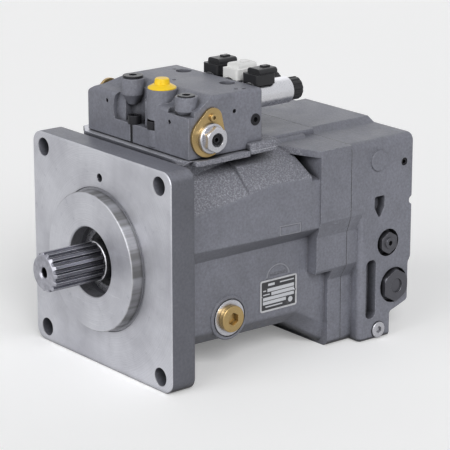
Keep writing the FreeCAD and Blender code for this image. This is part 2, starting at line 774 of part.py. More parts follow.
def solenoid_coils():
    start = block_box[3]
    parts = []
    for x in spool_places:
        can = ring(coil_radius, tube_radius, start + 2, coil_end, x, spool_z)
        can = softened(can, 1.0, lambda edge: edge.BoundBox.YMin > coil_end - 0.01)
        collar = ring(tube_radius + 3, tube_radius, start, start + 2, x, spool_z)
        tube = rod("y", (x, start, spool_z), tube_radius, cap_end - 3 - start)
        bore = rod("y", (x, start - 1, spool_z), armature_radius + 0.1, cap_end - 12 - start)
        parts.append(fused([can, collar, tube.cut(bore)]))
    return Part.makeCompound(parts)


def coil_nuts():
    nuts = []
    for x in spool_places:
        nut = rod("y", (x, coil_end, spool_z), cap_radius, cap_end - coil_end)
        nut = softened(nut, 1.5, at_y(cap_end))
        grips = [rod("y", (x + a, coil_end + 2, spool_z + b), 1.7, cap_end - coil_end)
                 for a, b in circle_points(cap_radius + 0.4, 13)]
        hollow = rod("y", (x, coil_end - 1, spool_z), tube_radius, cap_end - 3 - coil_end + 1)
        nuts.append(nut.cut(grips + [hollow]))
    return Part.makeCompound(nuts)


def connector(x):
    """moulded on the coil: a flat base, and behind it a socket that opens to the rear"""
    half = connector_width / 2
    floor = connector_floor
    top = floor + 18
    snout = half - 2.5
    base = slab(rectangle(half, 14, 3, (x, 172)), on_level(floor), vec(0, 0, 12))
    shell = slab([(x - snout, top - 13, 4), (x + snout, top - 13, 4), (x + snout, top, 4), (x - snout, top, 4)],
                 across(164), vec(0, 27, 0))
    shell = softened(shell, 1.0, at_y(191))
    wall = 2.2
    mouth = slab([(x - snout + wall, top - 13 + wall, 2.5), (x + snout - wall, top - 13 + wall, 2.5),
                  (x + snout - wall, top - wall, 2.5), (x - snout + wall, top - wall, 2.5)],
                 across(172), vec(0, 40, 0))
    latch = box((x - 3.5, x + 3.5), (176, 186), (top - 1, top + 2))
    latch = softened(latch, 0.8, lambda edge: edge.BoundBox.ZMin > top + 1.9)
    blades = [box((x + dx - 1.2, x + dx + 1.2), (170, 182), (top - 7, top - 6.2)) for dx in (-4.5, 4.5)]
    saddle = rod("y", (x, 150, spool_z), coil_radius, 80)
    foot = box((x - 10, x + 10), (161, 184), (spool_z + 10, floor + 2))
    hollow = fused([base, foot, shell]).cut(saddle).cut(mouth)
    return fused([hollow, latch] + blades)


def connectors_black():
    return Part.makeCompound([connector(spool_places[0]), connector(spool_places[2])])


def connector_white():
    return connector(spool_places[1])


def control_spool(x):
    start = block_box[2] + 48
    shoulder = block_box[3] - 6
    spool = turned([(0, start), (spool_radius - running_gap, start), (spool_radius - running_gap, start + 12),
                    (5, start + 14), (5, start + 26), (spool_radius - running_gap, start + 28),
                    (spool_radius - running_gap, shoulder), (armature_radius, shoulder),
                    (armature_radius, cap_end - 24), (0, cap_end - 24)], x, spool_z)
    return spool


# shaft line

def spline_profile():
    """straight flanked teeth: tip land, flank, root land for each tooth"""
    points = []
    pitch = 2 * math.pi / spline_teeth
    for index in range(spline_teeth):
        for share, radius in ((-0.34, spline_root_radius), (-0.17, spline_tip_radius),
                              (0.17, spline_tip_radius), (0.34, spline_root_radius)):
            angle = (index + share) * pitch
            points.append(vec(radius * math.cos(angle), shaft_tip, radius * math.sin(angle)))
    return Part.Face(Part.makePolygon(points + points[:1]))


def drive_shaft():
    spline = spline_profile().extrude(vec(0, -10 - shaft_tip, 0))
    bevel = turned([(0, shaft_tip), (spline_root_radius - 0.5, shaft_tip),
                    (spline_tip_radius + 0.5, shaft_tip + 3.5), (spline_tip_radius + 0.5, 0), (0, 0)])
    spline = spline.common(bevel)
    start, seat, _, length = front_bearing
    rear_start, rear_seat, _, rear_length = rear_bearing
    core = turned([(0, -10), (journal_radius - 1, -10), (journal_radius, -9), (journal_radius, start),
                   (seat, start), (seat, start + length), (seat + 4, start + length),
                   (seat + 4, start + length + 4), (core_radius, start + length + 4),
                   (core_radius, block_end - 6), (rear_seat, block_end - 6),
                   (rear_seat, rear_start + rear_length), (tail_radius, rear_start + rear_length),
                   (tail_radius, rear_end - 1), (0, rear_end - 1)])
    hole = turned([(0, shaft_tip - 1), (8, shaft_tip - 1), (8, shaft_tip), (6.2, shaft_tip + 2),
                   (6.2, shaft_tip + 34), (0, shaft_tip + 37)])
    return fused([spline, core]).cut([hole])


def bearing_cup(sizes):
    start, _, outer, length = sizes
    thin = outer - 4
    thick = outer - 7.5
    return turned([(thick, start), (outer, start), (outer, start + length), (thin, start + length)])


def bearing_cone(sizes, rollers):
    start, inner, outer, length = sizes
    thin = outer - 4
    thick = outer - 7.5
    roller = (outer - inner) * 0.16
    low = thick - 2 * roller - 0.1
    high = thin - 2 * roller - 0.1
    cone = turned([(inner, start), (low + 1, start), (low + 1, start + 3), (high + 1, start + length - 3),
                   (high + 1, start + length), (inner, start + length)])
    lean = math.atan2(high - low, length)
    parts = [cone]
    middle = (low + high) / 2 + roller
    for x, z in circle_points(1.0, rollers):
        direction = vec(x * math.sin(lean), math.cos(lean), z * math.sin(lean))
        centre = vec(middle * x, start + length / 2, middle * z)
        reach = length - 8
        parts.append(Part.makeCylinder(roller - 0.1, reach, centre - direction * (reach / 2), direction))
    return fused(parts)


def shaft_seal():
    lip = journal_radius
    shell = seal_bore_radius - 3.5
    return turned([(seal_bore_radius, 9), (seal_bore_radius, 20), (shell, 20), (shell, 12), (lip + 6, 12),
                   (lip + 3, 17), (lip, 18), (lip, 16), (lip + 2, 10), (lip + 4, 9)])


def seal_ring():
    return ring(seal_bore_radius, journal_radius + 9, 7, 9)


# rotating group

def cylinder_block():
    step = block_inner_step
    body = turned([(core_radius, step), (27, step), (27, block_front), (block_radius - 2, block_front),
                   (block_radius, block_front + 2), (block_radius, block_end), (core_radius, block_end)])
    cuts = []
    for x, z in circle_points(bore_pitch, piston_count):
        cuts.append(rod("y", (x, block_front - 1, z), bore_radius, block_end - 11 - block_front))
        cuts.append(rod("y", (x, block_end - 14, z), 6.5, 20))
    return body.cut(cuts)


def retainer_ball():
    ball = sphere(retainer_ball_radius, 0, pivot_y, 0)
    zone = ring(far / 10, core_radius, pivot_y - retainer_ball_front, pivot_y + retainer_ball_rear)
    return ball.common(zone)


def block_spring():
    wire = 1.8
    start = pivot_y + retainer_ball_rear
    length = block_inner_step - start
    height = length - 2 * wire
    helix = Part.makeHelix(height / 6, height, 24)
    circle = Part.Wire(Part.makeCircle(wire, vec(24, 0, 0), vec(0, 1, 0)))
    coil = Part.Wire(helix.Edges).makePipeShell([circle], True, True)
    coil.rotate(vec(0, 0, 0), axis_of["x"], -90)
    coil.translate(vec(0, start + wire, 0))
    return coil


def swashplate():
    top = pivot_y - slipper_face - running_gap
    low = top - plate_thick
    plate = ring(plate_radius, swash_hole, low, top)
    drum = rod("x", (-cradle_outer, pivot_y, 0), cradle_radius, 2 * cradle_outer)
    runners = []
    for side in (-1, 1):
        edges = sorted((side * cradle_inner, side * cradle_outer))
        runners.append(box(edges, (pivot_y - 60, low + 4), (-50, 50)).common(drum))
    foot = box((-8, 8), (104, 131), (72, 83))
    neck = box((-7, 7), (pivot_y - 3, pivot_y + 3), (80, servo_z))
    pin = rod("x", (-8, pivot_y, servo_z), pin_radius, 16)
    web = box((-8, 8), (low + 2, top), (66, 76))
    hollow = rod("y", (0, low - 10, 0), swash_hole, 60)
    slot = slab(rectangle(24, 39, 20), across(low - 30), vec(0, 22, 0))
    edge_cut = box((-cradle_outer - 1, cradle_outer + 1), (low - 9, low), (-39, 39))
    window = edge_cut.common(rod("y", (0, low - 10, 0), swash_hole + 2, 20))
    shape = fused([plate] + runners + [web, foot, neck, pin])
    return shape.cut([hollow, slot, window])


def cradle_shells():
    shells = []
    for side in (-1, 1):
        edges = sorted((side * (cradle_inner + 1), side * (cradle_outer - 1)))
        start = edges[0]
        outer = rod("x", (start, pivot_y, 0), cradle_radius + shell_thick, edges[1] - edges[0])
        inner = rod("x", (start - 1, pivot_y, 0), cradle_radius + running_gap, 60)
        limit = box(edges, (pivot_y - 70, pivot_y - 30), (-38, 38))
        shells.append(outer.cut(inner).common(limit))
    return Part.makeCompound(shells)


def slipper_retainer():
    low = pivot_y - slipper_face + slipper_disc + retainer_gap
    plate = ring(retainer_radius, 20, low, pivot_y)
    cuts = [sphere(retainer_ball_radius + running_gap, 0, pivot_y, 0)]
    for x, z in circle_points(ball_pitch, piston_count):
        cuts.append(rod("y", (x, low - 1, z), slipper_neck + 0.4, 20))
    return plate.cut(cuts)


def slipper(x, z):
    face = pivot_y - slipper_face
    body = turned([(0, face), (slipper_radius, face), (slipper_radius, face + slipper_disc),
                   (slipper_neck, face + slipper_disc), (slipper_neck, pivot_y + slipper_top),
                   (0, pivot_y + slipper_top)], x, z)
    return body.cut([sphere(ball_radius + socket_gap, x, pivot_y, z)])


def piston(x, z):
    y = pivot_y
    ball = sphere(ball_radius, x, y, z)
    body = turned([(0, y), (5.5, y), (5.5, y + 9.5), (piston_radius, y + 16), (piston_radius, piston_end - 1),
                   (piston_radius - 1, piston_end), (7, piston_end), (7, 175), (0, 171)], x, z)
    return fused([ball, body])


def valve_plate():
    start = block_end + running_gap
    disc = ring(block_radius, tail_radius + 8, start, rear_face)
    return disc.cut(kidney(bore_pitch, 12, 62, start - 1, 14))


def servo_piston():
    start = pivot_y - servo_length / 2
    body = rod("y", (0, start, servo_z), servo_radius - running_gap, servo_length)
    wide = pin_radius + pin_gap
    notch = box((-20, 20), (pivot_y - wide, pivot_y + wide), (servo_z - 8, servo_z + wide + 0.2))
    throat = box((-20, 20), (pivot_y - 12, pivot_y + 12), (servo_z - 20, servo_z - 7))
    grooves = [ring(20, servo_radius - 1.5, y, y + 2.5, 0, servo_z) for y in (start + 6, start + servo_length - 8.5)]
    return body.cut([notch, throat] + grooves)


# charge pump

def lobed_curve(gap):
    """curve followed by the small rotor so that it touches all the lobes of the outer rotor"""
    points = []
    steps = 36 * (lobe_count - 1)
    for index in range(steps):
        turn = 2 * math.pi * index / steps
        lean = math.atan2(math.sin((1 - lobe_count) * turn),
                          lobe_pitch / (lobe_offset * lobe_count) - math.cos((1 - lobe_count) * turn))
        reach = lobe_radius + gap
        x = lobe_pitch * math.cos(turn) - reach * math.cos(turn + lean)
        x -= lobe_offset * math.cos(lobe_count * turn)
        z = -lobe_pitch * math.sin(turn) + reach * math.sin(turn + lean)
        z += lobe_offset * math.sin(lobe_count * turn)
        points.append(vec(x, 0, z))
    curve = Part.BSplineCurve()
    curve.interpolate(points, PeriodicFlag=True)
    return Part.Face(Part.Wire(curve.toShape()))


def charge_inner_rotor():
    start = rear_end - rotor_length + 0.1
    rotor = lobed_curve(mesh_gap).extrude(vec(0, rotor_length - 0.2, 0))
    rotor.translate(vec(0, start, 0))
    return rotor.cut(rod("y", (0, start - 1, 0), tail_radius, rotor_length + 2))


def charge_outer_rotor():
    start = rear_end - rotor_length + 0.1
    length = rotor_length - 0.2
    root = lobe_pitch + lobe_offset - lobe_radius + lobe_offset + 0.6
    band = ring(rotor_radius - running_gap, root, start, start + length, -lobe_offset)
    lobes = [rod("y", (x - lobe_offset, start, z), lobe_radius, length)
             for x, z in circle_points(lobe_pitch, lobe_count)]
    return fused([band] + lobes)


nodes = {
    "flange_housing": flange_housing,
    "rear_housing": rear_housing,
    "housing_gasket": housing_gasket,
    "charge_cover": charge_cover,
    "control_block": control_block,
    "housing_bolts": housing_bolts,
    "socket_screws": socket_screws,
    "case_plug": case_plug,
    "case_plug_ring": case_plug_ring,
    "drain_plug": drain_plug,
    "relief_cartridge": relief_cartridge,
    "check_valve_cap": check_valve_cap,
    "socket_plugs": socket_plugs,
    "port_cap": port_cap,
    "name_plate": name_plate,
    "adjuster_plates": adjuster_plates,
    "adjuster_housing": adjuster_housing,
    "adjuster_screw": adjuster_screw,
    "solenoid_coils": solenoid_coils,
    "coil_nuts": coil_nuts,
    "connectors_black": connectors_black,
    "connector_white": connector_white,
    "drive_shaft": drive_shaft,
    "front_bearing_cup": lambda: bearing_cup(front_bearing),
    "front_bearing_cone": lambda: bearing_cone(front_bearing, 18),
    "rear_bearing_cup": lambda: bearing_cup(rear_bearing),
    "rear_bearing_cone": lambda: bearing_cone(rear_bearing, 16),
    "shaft_seal": shaft_seal,
    "seal_ring": seal_ring,
    "cylinder_block": cylinder_block,
    "retainer_ball": retainer_ball,
    "block_spring": block_spring,
    "swashplate": swashplate,
    "cradle_shells": cradle_shells,
    "slipper_retainer": slipper_retainer,
    "valve_plate": valve_plate,
    "servo_piston": servo_piston,
    "charge_inner_rotor": charge_inner_rotor,
    "charge_outer_rotor": charge_outer_rotor,
}
for number, spool_x in enumerate(spool_places, 1):
    nodes["control_spool_%d" % number] = lambda x=spool_x: control_spool(x)
for number, (ball_x, ball_z) in enumerate(circle_points(ball_pitch, piston_count), 1):
    nodes["slipper_%d" % number] = lambda x=ball_x, z=ball_z: slipper(x, z)
    nodes["piston_%d" % number] = lambda x=ball_x, z=ball_z: piston(x, z)

os.makedirs("parts", exist_ok=True)
for name, make in nodes.items():
    shape = make()
    print(name, "valid" if shape.isValid() else "NOT VALID", len(shape.Solids), round(shape.Volume / 1000, 1))
    shape.exportStep("parts/%s.step" % name)
print(len(nodes), "nodes")
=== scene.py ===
import bpy, math
import numpy as np
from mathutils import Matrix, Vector

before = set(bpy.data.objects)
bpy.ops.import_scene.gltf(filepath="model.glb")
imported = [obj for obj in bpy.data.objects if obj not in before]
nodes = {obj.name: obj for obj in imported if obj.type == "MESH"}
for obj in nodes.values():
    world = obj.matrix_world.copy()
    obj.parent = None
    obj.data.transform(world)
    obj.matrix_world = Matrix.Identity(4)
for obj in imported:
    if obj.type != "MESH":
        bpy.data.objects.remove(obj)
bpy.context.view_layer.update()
print("frame loaded,", len(nodes), "nodes")


def newMaterial(name):
    mat = bpy.data.materials.new(name)
    mat.use_nodes = True
    tree = mat.node_tree
    tree.nodes.clear()
    out = tree.nodes.new("ShaderNodeOutputMaterial")
    shader = tree.nodes.new("ShaderNodeBsdfPrincipled")
    tree.links.new(shader.outputs["BSDF"], out.inputs["Surface"])
    place = tree.nodes.new("ShaderNodeTexCoord").outputs["Object"]
    return mat, tree, shader, place


def feed(tree, socket, value):
    if hasattr(value, "is_linked"):
        tree.links.new(value, socket)
    elif value is not None:
        socket.default_value = value


def noise(tree, place, scale, detail=4.0, rough=0.55, stretch=None):
    if stretch is not None:
        mapping = tree.nodes.new("ShaderNodeMapping")
        mapping.inputs["Scale"].default_value = stretch
        tree.links.new(place, mapping.inputs["Vector"])
        place = mapping.outputs["Vector"]
    node = tree.nodes.new("ShaderNodeTexNoise")
    node.inputs["Scale"].default_value = scale
    node.inputs["Detail"].default_value = detail
    node.inputs["Roughness"].default_value = rough
    tree.links.new(place, node.inputs["Vector"])
    return node.outputs["Fac"]


def voronoi(tree, place, scale):
    node = tree.nodes.new("ShaderNodeTexVoronoi")
    node.inputs["Scale"].default_value = scale
    tree.links.new(place, node.inputs["Vector"])
    return node.outputs["Distance"]


def calc(tree, operation, a, b=None):
    node = tree.nodes.new("ShaderNodeMath")
    node.operation = operation
    for socket, value in zip(node.inputs, (a, b)):
        feed(tree, socket, value)
    return node.outputs[0]


def times(tree, a, b):
    return calc(tree, "MULTIPLY", a, b)


def awayFrom(tree, value, centre):
    # absolute difference between the value and the centre
    return calc(tree, "ABSOLUTE", calc(tree, "SUBTRACT", value, centre))


def length(tree, a, b):
    # square root of a squared plus b squared
    return calc(tree, "SQRT", calc(tree, "ADD", calc(tree, "POWER", a, 2.0), calc(tree, "POWER", b, 2.0)))


def lineNoise(tree, value, scale, detail):
    # noise that changes along one number only
    node = tree.nodes.new("ShaderNodeTexNoise")
    node.noise_dimensions = "1D"
    node.inputs["Scale"].default_value = scale
    node.inputs["Detail"].default_value = detail
    tree.links.new(value, node.inputs["W"])
    return node.outputs["Fac"]


def span(tree, value, fromLow, fromHigh, toLow=0.0, toHigh=1.0):
    node = tree.nodes.new("ShaderNodeMapRange")
    feed(tree, node.inputs["Value"], value)
    for key, number in (("From Min", fromLow), ("From Max", fromHigh), ("To Min", toLow), ("To Max", toHigh)):
        node.inputs[key].default_value = number
    return node.outputs["Result"]


def blendColour(tree, share, first, second):
    node = tree.nodes.new("ShaderNodeMix")
    node.data_type = "RGBA"
    feed(tree, node.inputs["Factor"], share)
    for key, value in (("A", first), ("B", second)):
        socket = [s for s in node.inputs if s.name == key and s.type == "RGBA"][0]
        feed(tree, socket, value if hasattr(value, "is_linked") else (*value, 1.0))
    return [s for s in node.outputs if s.type == "RGBA"][0]


def bump(tree, height, distance, strength=1.0, under=None):
    node = tree.nodes.new("ShaderNodeBump")
    node.inputs["Distance"].default_value = distance
    node.inputs["Strength"].default_value = strength
    tree.links.new(height, node.inputs["Height"])
    if under is not None:
        tree.links.new(under, node.inputs["Normal"])
    return node.outputs["Normal"]


def softEdge(tree, radius):
    node = tree.nodes.new("ShaderNodeBevel")
    node.samples = 6
    node.inputs["Radius"].default_value = radius
    return node.outputs["Normal"]


def edgeShare(tree, radius, low, high):
    # one minus the dot product of the softened and the true normal, spread from 0 to 1
    soft = softEdge(tree, radius)
    true = tree.nodes.new("ShaderNodeNewGeometry").outputs["Normal"]
    node = tree.nodes.new("ShaderNodeVectorMath")
    node.operation = "DOT_PRODUCT"
    tree.links.new(soft, node.inputs[0])
    tree.links.new(true, node.inputs[1])
    return span(tree, node.outputs["Value"], 1.0 - low, 1.0 - high)


def parts(tree, place):
    node = tree.nodes.new("ShaderNodeSeparateXYZ")
    tree.links.new(place, node.inputs[0])
    return node.outputs


def lessShare(tree, value, limit, blur):
    # one below the limit, zero above it, with a soft change over the blur
    return span(tree, value, limit + blur, limit - blur)


def moreShare(tree, value, limit, blur):
    return span(tree, value, limit - blur, limit + blur)


def both(tree, *shares):
    product = shares[0]
    for share in shares[1:]:
        product = calc(tree, "MULTIPLY", product, share)
    return product


def mixNumber(tree, share, first, second):
    node = tree.nodes.new("ShaderNodeMix")
    node.data_type = "FLOAT"
    feed(tree, node.inputs[0], share)
    feed(tree, node.inputs[2], first)
    feed(tree, node.inputs[3], second)
    return node.outputs[0]


def mixVector(tree, share, first, second):
    node = tree.nodes.new("ShaderNodeMix")
    node.data_type = "VECTOR"
    feed(tree, node.inputs[0], share)
    feed(tree, node.inputs[4], first)
    feed(tree, node.inputs[5], second)
    return node.outputs[1]


def hollowShare(tree, distance, start=0.75, end=0.25):
    # zero in the open, rising to one where nearby walls hide the surface; it sets how much shade is painted into
    # hollows
    node = tree.nodes.new("ShaderNodeAmbientOcclusion")
    node.samples = 8
    node.inputs["Distance"].default_value = distance
    return span(tree, node.outputs["AO"], start, end)


def underShare(tree):
    # how far the true surface faces the ground, zero for level walls
    normal = tree.nodes.new("ShaderNodeNewGeometry").outputs["True Normal"]
    return span(tree, parts(tree, normal)[2], -0.15, -0.75)


castShapes = {
    "wall": 0.095, "wallBlur": 0.002, "blur": 0.0003,
    "frameCentre": (0.178, 0.033), "frameHalf": (0.0145, 0.0055), "frameLine": 0.0009,
    "ringCentre": (0.176, -0.0285), "ringRadius": 0.015, "ringWiden": 0.78, "ringLine": 0.0011,
    "ringFoot": -0.028,
    "barRise": 0.0045, "barHalf": (0.0125, 0.0018),
}


def castMarks(tree, place):
    # a bare raised frame on the upper wall, and over the plate a raised half ring with a rough bar in it:
    # each is one where the distance to its outline is under half the line
    x, y, z = parts(tree, place)
    blur = castShapes["blur"]
    middle, half = castShapes["frameCentre"], castShapes["frameHalf"]
    across = calc(tree, "SUBTRACT", awayFrom(tree, y, middle[0]), half[0])
    up = calc(tree, "SUBTRACT", awayFrom(tree, z, middle[1]), half[1])
    outline = calc(tree, "ABSOLUTE", calc(tree, "MAXIMUM", across, up))
    frameLine = lessShare(tree, outline, castShapes["frameLine"], blur)
    dy = calc(tree, "SUBTRACT", y, castShapes["ringCentre"][0])
    dz = calc(tree, "SUBTRACT", z, castShapes["ringCentre"][1])
    narrow = times(tree, calc(tree, "POWER", dy, 2.0), castShapes["ringWiden"])
    radius = calc(tree, "SQRT", calc(tree, "ADD", narrow, calc(tree, "POWER", dz, 2.0)))
    ring = lessShare(tree, awayFrom(tree, radius, castShapes["ringRadius"]), castShapes["ringLine"], blur)
    arc = both(tree, ring, moreShare(tree, z, castShapes["ringFoot"], blur))
    barLong, barHigh = castShapes["barHalf"]
    bar = both(tree, lessShare(tree, awayFrom(tree, dz, castShapes["barRise"]), barHigh, blur),
               lessShare(tree, calc(tree, "ABSOLUTE", dy), barLong, blur),
               span(tree, noise(tree, place, 500.0, 3.0), 0.4, 0.6))
    shapes = calc(tree, "MAXIMUM", calc(tree, "MAXIMUM", frameLine, arc), bar)
    return both(tree, moreShare(tree, x, castShapes["wall"], castShapes["wallBlur"]), shapes)


paint = {"colour": (0.168, 0.172, 0.202), "light": (0.36, 0.365, 0.4), "paintedShade": (0.03, 0.031, 0.038),
         "rough": (0.15, 0.152, 0.18), "speck": (0.36, 0.365, 0.4), "edge": 0.0014, "ruggedRough": 0.62,
         "hole": (0.008, 0.008, 0.01), "dim": 0.86, "bright": 1.1}
flangeSideShade = {"side": 0.1325, "sideBlur": 0.0008, "back": 0.041, "backBlur": 0.0005, "share": 0.45}


def castPaint(name="castPaint", machined=None, rugged=None):
    # paint colour times cloudy noise, lighter on edges (rubbed wear and painted highlight), with painted shade
    # in hollows, deep holes and on faces turned to the ground, over a lumpy bump;
    # where the rugged mask is one the bump is coarse and light specks stand on a darker ground, with painted
    # shade in its hollows;
    # where the machined mask is one the lathe-turned metal shows, with painted shade in its hollows, and the
    # flange side is darkened by painted shade
    mat, tree, shader, place = newMaterial(name)
    broad = noise(tree, place, 9.0, 4.0)
    cloudy = noise(tree, place, 42.0, 5.0, 0.62)
    fine = noise(tree, place, 330.0, 5.0, 0.68)
    tone = calc(tree, "ADD", times(tree, broad, 0.5), times(tree, cloudy, 0.5))
    colour = blendColour(tree, span(tree, tone, 0.36, 0.64), tinted(paint["colour"], paint["dim"]),
                         tinted(paint["colour"], paint["bright"]))
    colour = scaleColour(tree, colour, span(tree, fine, 0.3, 0.72, 0.8, 1.2))
    # edges lightened: partly rubbed wear on the paint, partly painted highlight
    edge = edgeShare(tree, paint["edge"], 0.015, 0.22)
    worn = both(tree, edge, span(tree, fine, 0.38, 0.62, 0.2, 0.9))
    colour = blendColour(tree, worn, colour, paint["light"])
    # painted shade: an ambient-occlusion share darkens hollows and creases towards the deep colour
    hollow = hollowShare(tree, 0.012)
    colour = blendColour(tree, times(tree, hollow, 0.75), colour, paint["paintedShade"])
    # painted shade: faces turned towards the ground are darkened
    colour = blendColour(tree, times(tree, underShare(tree), 0.45), colour, paint["paintedShade"])
    # painted shade: a wide ambient-occlusion share, used at the end to darken deep holes nearly to black
    depth = hollowShare(tree, 0.05, 0.5, 0.16)
    rough = span(tree, cloudy, 0.3, 0.7, 0.4, 0.58)
    height = calc(tree, "ADD", times(tree, noise(tree, place, 700.0, 4.0, 0.65), 0.7),
                  times(tree, noise(tree, place, 150.0, 4.0, 0.6), 1.2))
    normal = bump(tree, height, 0.00028, 1.0, softEdge(tree, paint["edge"]))
    if rugged is not None:
        mask = rugged(tree, place)
        grit = voronoi(tree, place, 560.0)
        gritty = noise(tree, place, 520.0, 4.0, 0.75)
        coat = blendColour(tree, span(tree, gritty, 0.46, 0.66), paint["rough"], paint["speck"])
        coat = blendColour(tree, both(tree, span(tree, grit, 0.35, 0.1), 0.25), coat, paint["speck"])
        # painted shade in the hollows of the rough coat
        coat = blendColour(tree, times(tree, hollow, 0.7), coat, paint["paintedShade"])
        colour = blendColour(tree, mask, colour, coat)
        lumps = calc(tree, "ADD", gritty, times(tree, noise(tree, place, 120.0, 3.0, 0.6), 1.6))
        normal = mixVector(tree, mask, normal, bump(tree, lumps, 0.0007, 1.0, softEdge(tree, 0.002)))
        rough = mixNumber(tree, mask, rough, paint["ruggedRough"])
        marks = castMarks(tree, place)
        colour = blendColour(tree, times(tree, marks, 0.45), colour, paint["light"])
        normal = bump(tree, marks, 0.0014, 1.0, normal)
    metallic = 0.0
    if machined is not None:
        x, y, z = parts(tree, place)
        # painted shade: the flange's outer side faces are darkened
        rim = both(tree, moreShare(tree, calc(tree, "ABSOLUTE", x), flangeSideShade["side"], flangeSideShade["sideBlur"]),
                   lessShare(tree, y, flangeSideShade["back"], flangeSideShade["backBlur"]))
        colour = blendColour(tree, times(tree, rim, flangeSideShade["share"]), colour, paint["paintedShade"])
        mask = machined(tree, place)
        bare, bareRough, bareNormal = turnedSurface(tree, place)
        # painted shade in the hollows of the turned metal
        bare = blendColour(tree, times(tree, hollow, 0.75), bare, paint["paintedShade"])
        colour = blendColour(tree, mask, colour, bare)
        rough = mixNumber(tree, mask, rough, bareRough)
        normal = mixVector(tree, mask, normal, bareNormal)
        metallic = times(tree, mask, 0.8)
    # painted shade: deep holes darkened nearly to black
    colour = blendColour(tree, times(tree, depth, 0.9), colour, paint["hole"])
    feed(tree, shader.inputs["Base Color"], colour)
    feed(tree, shader.inputs["Roughness"], rough)
    feed(tree, shader.inputs["Metallic"], metallic)
    feed(tree, shader.inputs["Normal"], normal)
    return mat


def tinted(colour, factor):
    return tuple(factor * value for value in colour)


def scaleColour(tree, colour, factor):
    node = tree.nodes.new("ShaderNodeVectorMath")
    node.operation = "SCALE"
    feed(tree, node.inputs[0], colour)
    feed(tree, node.inputs["Scale"], factor)
    return node.outputs[0]


def axisDistance(tree, place):
    x, y, z = parts(tree, place)
    return length(tree, x, z)


metal = {"colour": (0.66, 0.665, 0.705), "dark": (0.33, 0.335, 0.38), "stain": (0.42, 0.42, 0.46),
         "scratch": (0.8, 0.8, 0.83), "boreShade": (0.02, 0.02, 0.024), "sideColour": (0.17, 0.168, 0.165),
         "boreRadius": 0.0355, "boreDepth": -0.0145, "pilotRadius": 0.0818, "pilotFoot": -0.0012, "blur": 0.0004}


def turnedSurface(tree, place):
    # lathe marks: noise of the distance from the shaft axis, over cloudy stains and a few long scratches
    x, y, z = parts(tree, place)
    radius = axisDistance(tree, place)
    ring = lineNoise(tree, radius, 1400.0, 3.0)
    cloud = noise(tree, place, 11.0, 6.0, 0.62)
    blotch = noise(tree, place, 95.0, 5.0, 0.66)
    scratch = noise(tree, place, 30.0, 2.0, 0.5, (1.0, 1.0, 26.0))
    colour = blendColour(tree, span(tree, cloud, 0.4, 0.68, 0.0, 0.8), metal["colour"], metal["stain"])
    colour = blendColour(tree, span(tree, ring, 0.4, 0.75, 0.0, 0.35), colour, metal["dark"])
    colour = blendColour(tree, span(tree, blotch, 0.6, 0.75, 0.0, 0.5), colour, metal["dark"])
    colour = blendColour(tree, span(tree, scratch, 0.66, 0.72, 0.0, 0.3), colour, metal["scratch"])
    # painted shade: inside the bore radius, behind the bore depth, the turned metal is painted near black
    bore = both(tree, lessShare(tree, radius, metal["boreRadius"], metal["blur"]),
                moreShare(tree, y, metal["boreDepth"], metal["blur"]))
    colour = blendColour(tree, times(tree, bore, 0.9), colour, metal["boreShade"])
    smear = lineNoise(tree, calc(tree, "ARCTAN2", z, x), 5.0, 6.0)
    pilotSide = both(tree, moreShare(tree, radius, metal["pilotRadius"], metal["blur"]),
                     lessShare(tree, y, metal["pilotFoot"], metal["blur"]))
    stained = both(tree, pilotSide, span(tree, smear, 0.35, 0.6, 0.45, 0.95))
    colour = blendColour(tree, stained, colour, metal["sideColour"])
    rough = span(tree, calc(tree, "ADD", ring, blotch), 0.7, 1.3, 0.36, 0.56)
    height = calc(tree, "ADD", ring, times(tree, blotch, 0.6))
    normal = bump(tree, height, 0.00007, 0.8, softEdge(tree, 0.0006))
    return colour, rough, normal


faces = {"mounting": 0.0012, "seatLow": 0.12985, "seatHigh": 0.1302, "seatFront": 0.0405}


def flangeFaceMask(tree, place):
    # machined: everything in front of the mounting face, and the rim below the control block
    x, y, z = parts(tree, place)
    front = calc(tree, "LESS_THAN", y, faces["mounting"])
    seat = both(tree, calc(tree, "GREATER_THAN", z, faces["seatLow"]),
                calc(tree, "LESS_THAN", z, faces["seatHigh"]),
                calc(tree, "GREATER_THAN", y, faces["seatFront"]))
    return calc(tree, "MAXIMUM", front, seat)


slopes = {"side": 0.084, "sideBlur": 0.002, "wave": 0.004, "crest": 0.0615, "climb": 0.205, "climbEnd": 0.15,
          "blur": 0.0012, "back": 0.2105, "front": 0.036, "endBlur": 0.001}


def ruggedMask(tree, place):
    # rough sand-cast skin above a wavy line that climbs towards the back: the slopes beside the control block
    x, y, z = parts(tree, place)
    side = moreShare(tree, calc(tree, "ABSOLUTE", x), slopes["side"], slopes["sideBlur"])
    wave = times(tree, noise(tree, place, 60.0, 3.0), slopes["wave"])
    climb = times(tree, calc(tree, "MINIMUM", y, slopes["climbEnd"]), slopes["climb"])
    crest = calc(tree, "ADD", slopes["crest"], climb)
    above = calc(tree, "SUBTRACT", calc(tree, "ADD", z, wave), crest)
    return both(tree, side, moreShare(tree, above, 0.0, slopes["blur"]),
                lessShare(tree, y, slopes["back"], slopes["endBlur"]),
                moreShare(tree, y, slopes["front"], slopes["endBlur"]))


